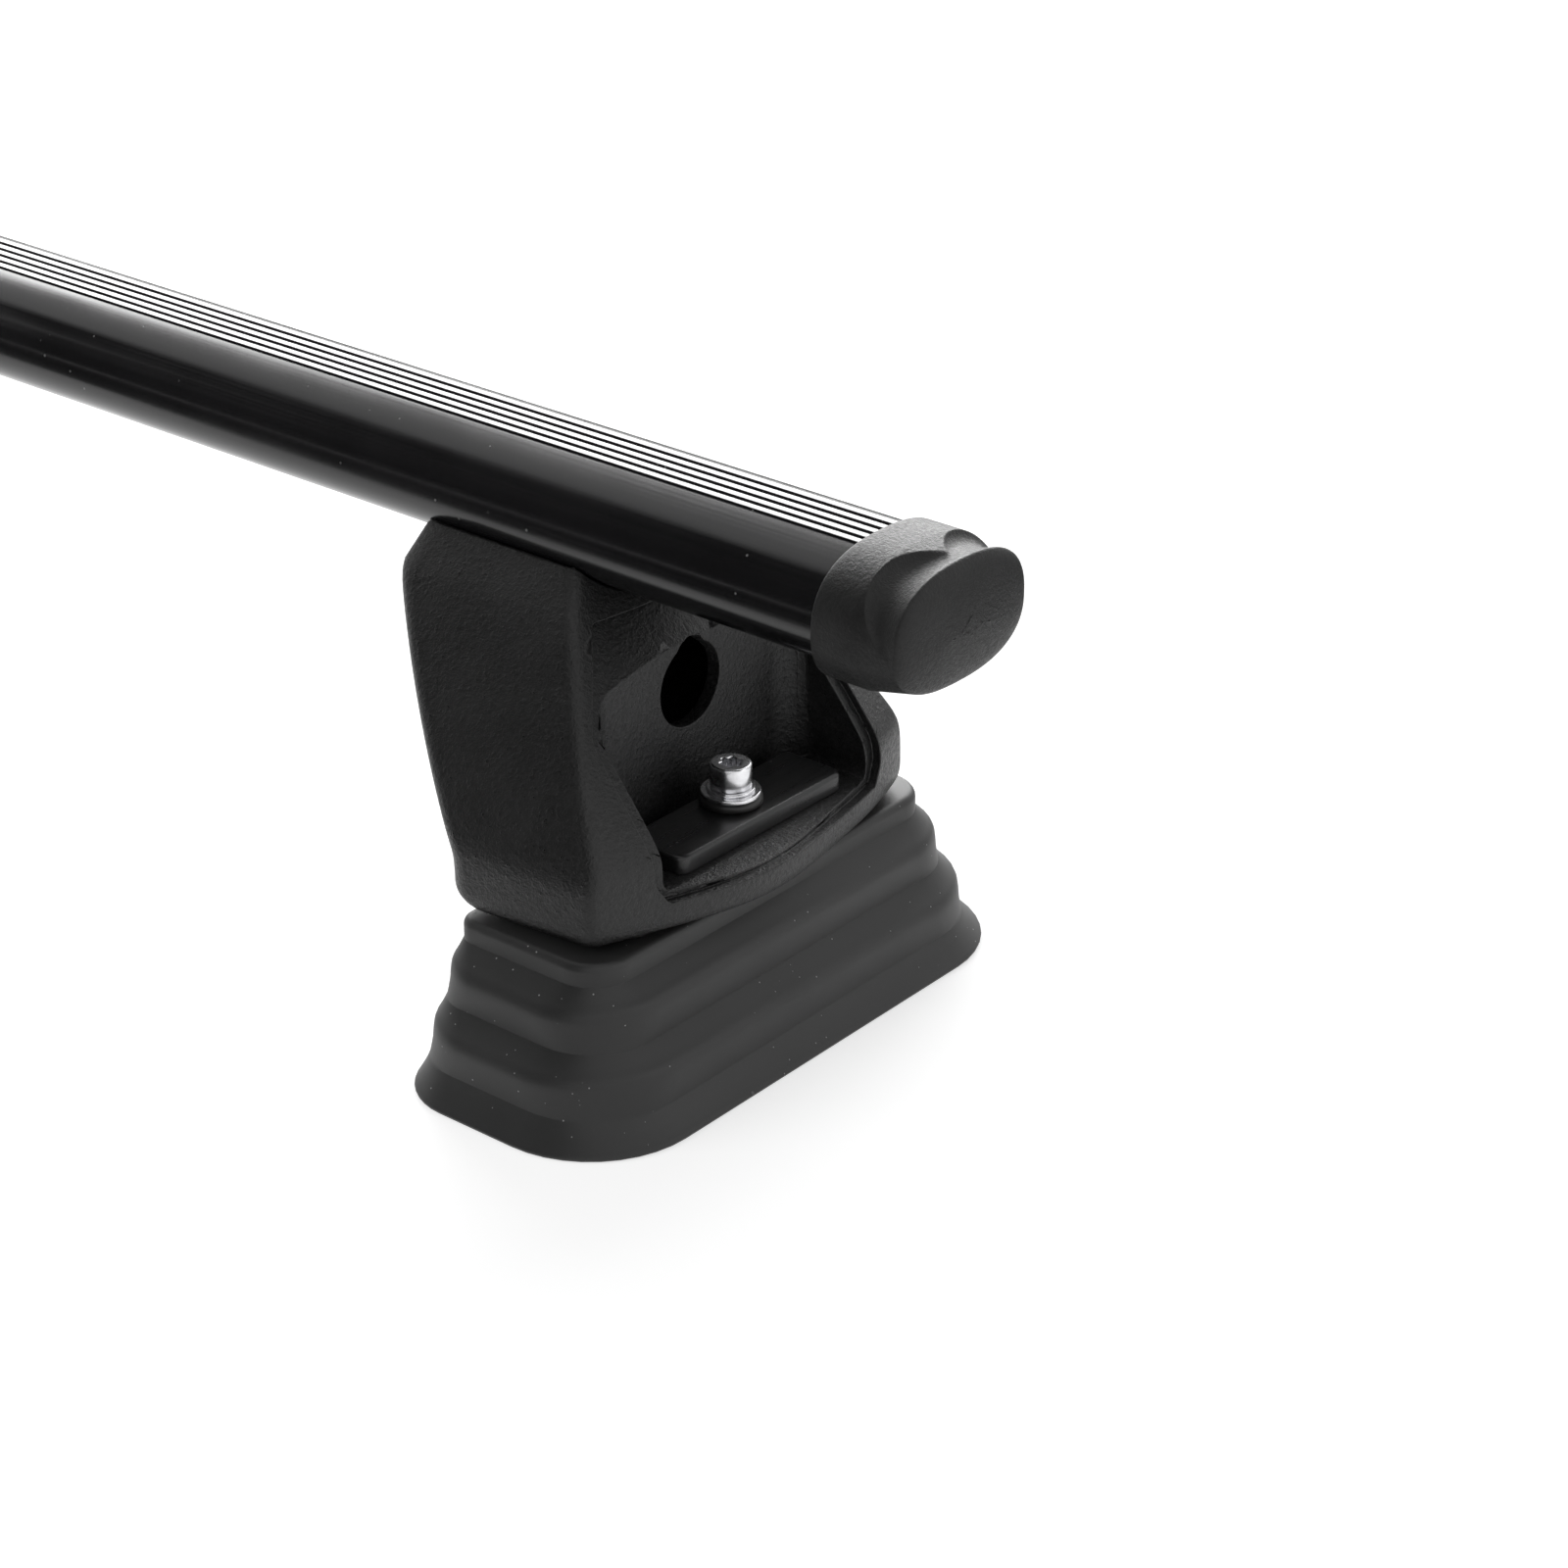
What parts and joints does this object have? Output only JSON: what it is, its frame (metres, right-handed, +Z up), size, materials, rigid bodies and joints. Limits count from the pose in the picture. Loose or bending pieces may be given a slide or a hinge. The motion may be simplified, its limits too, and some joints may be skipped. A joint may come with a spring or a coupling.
{
  "type": "roof rack crossbar",
  "caption": "Roof rack crossbar: ribbed black oval bar with end caps on two leaning feet, each with a cover pocket, a fixing bolt and a stepped rubber boot.",
  "frame": {"origin": "on the roof, under the middle of the bar", "axes": "+X along the bar, +Y across it, +Z up from the roof"},
  "size_m": [1.2154, 0.1594, 0.1365],
  "materials": {
    "bar_black": "smooth black coating, glossy",
    "cap_plastic": "fine-grained, satin",
    "housing_plastic": "coarse spark-eroded grain",
    "boot_rubber": "smooth moulded rubber, soft sheen",
    "block_metal": "plain casting",
    "pad_rubber": "plain",
    "plate_black": "satin black",
    "bolt_zinc": "bright zinc plating",
    "washer_zinc": "bright zinc plating",
    "retainer_rubber": "plain",
    "clamp_steel": "zinc plating"
  },
  "bodies": {
    "bar": {"bar": "bar_black", "end_cap_left": "cap_plastic", "end_cap_right": "cap_plastic"},
    "foot_left": {"foot_housing_left": "housing_plastic", "rubber_boot_left": "boot_rubber", "support_block_left": "block_metal", "roof_pad_left": "pad_rubber", "clamp_plate_left": "plate_black", "lock_washer_left": "washer_zinc", "flat_washer_left": "washer_zinc", "retaining_washer_left": "retainer_rubber", "bar_clamp_bolts_left": "clamp_steel", "bar_clamp_washers_left": "clamp_steel", "bar_clamp_nuts_left": "clamp_steel"},
    "fixing_left": {"fixing_bolt_left": "bolt_zinc"},
    "foot_right": {"foot_housing_right": "housing_plastic", "rubber_boot_right": "boot_rubber", "support_block_right": "block_metal", "roof_pad_right": "pad_rubber", "clamp_plate_right": "plate_black", "lock_washer_right": "washer_zinc", "flat_washer_right": "washer_zinc", "retaining_washer_right": "retainer_rubber", "bar_clamp_bolts_right": "clamp_steel", "bar_clamp_washers_right": "clamp_steel", "bar_clamp_nuts_right": "clamp_steel"},
    "fixing_right": {"fixing_bolt_right": "bolt_zinc"}
  },
  "joints": [
    {"name": "foot_slide_left", "type": "slide", "parent": "bar", "child": "foot_left", "axis": [-1, 0, 0], "range_m": [-0.25, 0.05]},
    {"name": "foot_slide_right", "type": "slide", "parent": "bar", "child": "foot_right", "axis": [1, 0, 0], "range_m": [-0.25, 0.05]},
    {"name": "bolt_spin_left", "type": "hinge", "parent": "foot_left", "child": "fixing_left", "pos_m": [-0.54, 0, 0.06], "axis": [0, 0, 1], "continuous": true},
    {"name": "bolt_spin_right", "type": "hinge", "parent": "foot_right", "child": "fixing_right", "pos_m": [0.54, 0, 0.06], "axis": [0, 0, 1], "continuous": true}
  ]
}
